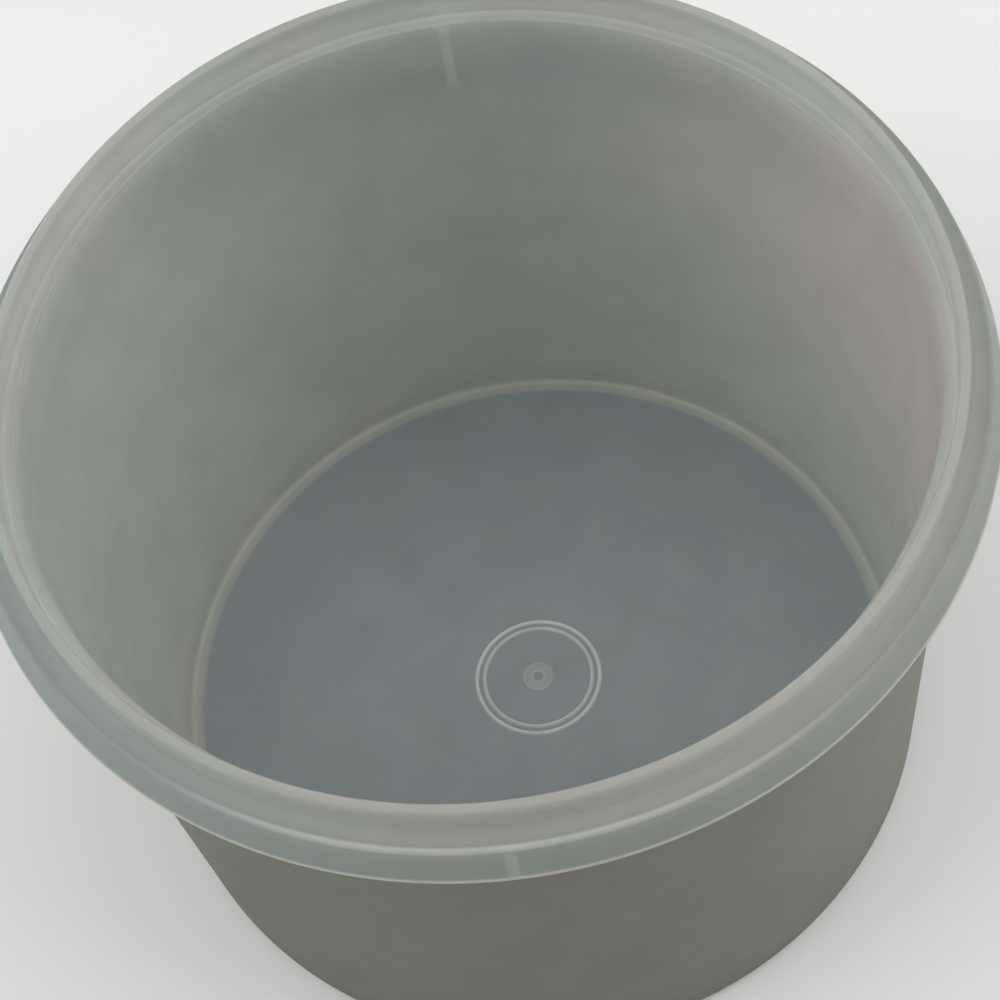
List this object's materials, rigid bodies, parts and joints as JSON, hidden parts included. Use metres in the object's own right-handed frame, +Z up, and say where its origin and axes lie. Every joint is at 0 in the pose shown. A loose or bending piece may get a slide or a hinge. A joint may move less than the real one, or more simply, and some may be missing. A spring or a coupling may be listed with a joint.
{
  "type": "food storage container",
  "caption": "Round translucent plastic tub for food, with a tapered wall, an upright lip for a press-on lid, and a ledge and skirt braced by gussets.",
  "frame": {"origin": "middle of the base, in the plane of the foot ring's underside", "axes": "+Z up along the container's axis; the gussets lie on +X, +Y, -X and -Y"},
  "size_m": [0.168, 0.168, 0.118],
  "materials": {
    "container": "natural milky polyethylene, slightly see-through, satin"
  },
  "bodies": {
    "root": {"container": "container"}
  },
  "joints": []
}
